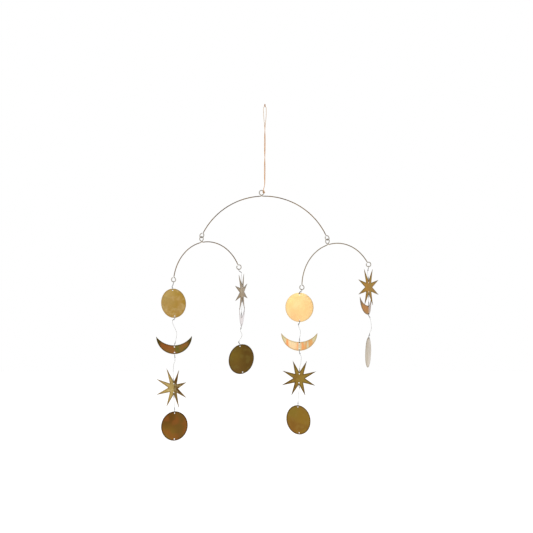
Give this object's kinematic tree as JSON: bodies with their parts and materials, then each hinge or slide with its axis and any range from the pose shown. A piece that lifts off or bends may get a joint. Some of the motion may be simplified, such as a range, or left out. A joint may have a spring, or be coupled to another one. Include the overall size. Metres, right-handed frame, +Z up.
{
  "type": "hanging mobile sculpture",
  "caption": "Hanging mobile: bowed brass wire arms on a looped cord, each end carrying a strand of brass discs, crescents and rayed stars on clear thread.",
  "frame": {"origin": "the hanging point, where the top of the cord loop passes over its hook", "axes": "+Z up, the front of the mobile faces -Y, +X to the viewer's right"},
  "size_m": [0.4193, 0.1528, 0.6365],
  "materials": {
    "cotton_cord": "two-ply twisted twine, matt",
    "brass_wire": "drawn wire, dulled satin",
    "brass_sheet": "lightly hammered and patinated sheet, satin",
    "clear_thread": "clear nylon thread, knotted"
  },
  "bodies": {
    "root": {"hanging_cord": "cotton_cord", "main_arm": "brass_wire", "left_arm": "brass_wire", "right_arm": "brass_wire", "left_top_disc": "brass_sheet", "left_crescent": "brass_sheet", "left_star": "brass_sheet", "left_bottom_disc": "brass_sheet", "inner_left_star": "brass_sheet", "inner_left_crescent": "brass_sheet", "inner_left_disc": "brass_sheet", "inner_right_top_disc": "brass_sheet", "inner_right_crescent": "brass_sheet", "inner_right_star": "brass_sheet", "inner_right_bottom_disc": "brass_sheet", "right_star": "brass_sheet", "right_crescent": "brass_sheet", "right_disc": "brass_sheet", "left_top_disc_thread": "clear_thread", "left_crescent_thread": "clear_thread", "left_star_thread": "clear_thread", "left_bottom_disc_thread": "clear_thread", "inner_left_star_thread": "clear_thread", "inner_left_crescent_thread": "clear_thread", "inner_left_disc_thread": "clear_thread", "inner_right_top_disc_thread": "clear_thread", "inner_right_crescent_thread": "clear_thread", "inner_right_star_thread": "clear_thread", "inner_right_bottom_disc_thread": "clear_thread", "right_star_thread": "clear_thread", "right_crescent_thread": "clear_thread", "right_disc_thread": "clear_thread"}
  },
  "joints": []
}
